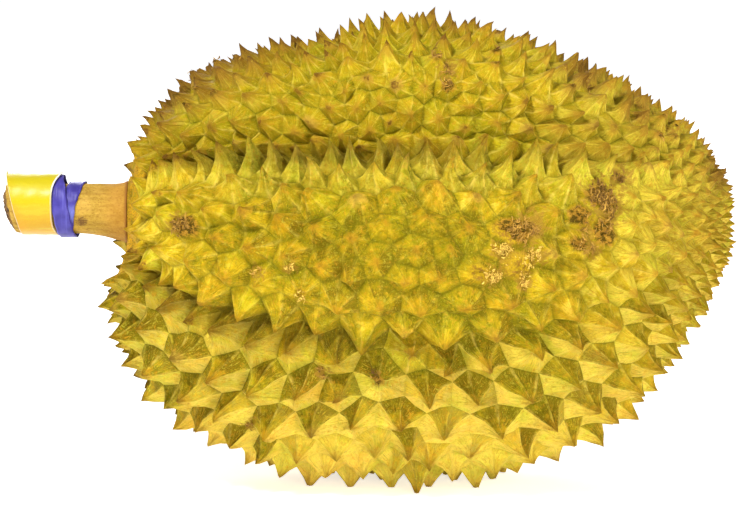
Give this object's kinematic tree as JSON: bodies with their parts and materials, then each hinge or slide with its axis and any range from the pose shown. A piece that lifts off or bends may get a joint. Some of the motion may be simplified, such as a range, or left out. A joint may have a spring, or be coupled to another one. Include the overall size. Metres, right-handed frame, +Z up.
{
  "type": "durian",
  "caption": "Whole spiny durian lying on its side, with a thick cut stalk that carries a loose paper sleeve and a wound plastic ribbon.",
  "frame": {"origin": "on the floor under the middle of the bounding box", "axes": "+X along the fruit from the stalk to the blossom end, -Y to the front, +Z up as it lies on its side"},
  "size_m": [0.3288, 0.197, 0.2136],
  "materials": {
    "husk": "olive-yellow woody rind, satin",
    "stalk": "rough tan bark",
    "sleeve_paper": "glossy coated paper",
    "ribbon_plastic": "glossy woven plastic"
  },
  "bodies": {
    "root": {"husk": "husk", "stalk": "stalk", "paper_sleeve": "sleeve_paper", "ribbon": "ribbon_plastic"}
  },
  "joints": []
}
